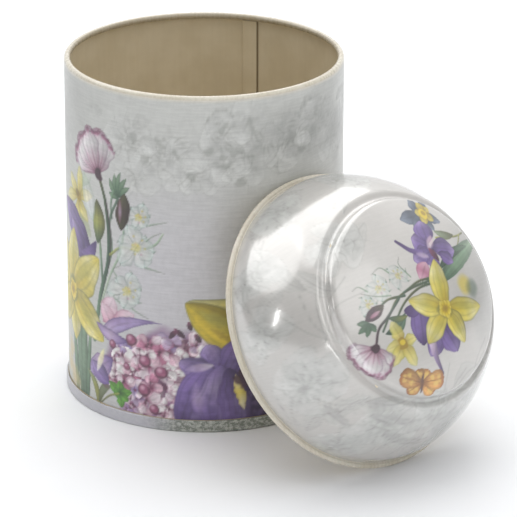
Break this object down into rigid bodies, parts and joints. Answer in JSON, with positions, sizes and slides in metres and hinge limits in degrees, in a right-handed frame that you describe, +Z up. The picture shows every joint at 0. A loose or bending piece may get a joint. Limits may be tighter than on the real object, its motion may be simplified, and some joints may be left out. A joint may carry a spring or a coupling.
{
  "type": "tea caddy",
  "caption": "Round tinplate tea caddy standing open, with its stepped dome slip-on lid leaning against the wall.",
  "frame": {"origin": "centre of the tin's foot, on the floor plane", "axes": "+Z up along the tin's axis; the viewer of the front stands towards -Y; the lid leans on the wall towards +X and -Y"},
  "size_m": [0.1195, 0.1238, 0.098],
  "materials": {
    "printed_wall": "satin printed and lacquered tinplate, gold lacquer inside",
    "base_tinplate": "satin lacquered tinplate",
    "printed_lid": "gloss printed and lacquered tinplate, gold lacquer inside"
  },
  "bodies": {
    "tin": {"body_wall": "printed_wall", "base_pan": "base_tinplate"},
    "lid": {"lid": "printed_lid"}
  },
  "joints": [
    {"name": "lid_lift", "type": "slide", "parent": "tin", "child": "lid", "axis": [0, 0, 1], "range_m": [0, 0.12]}
  ]
}
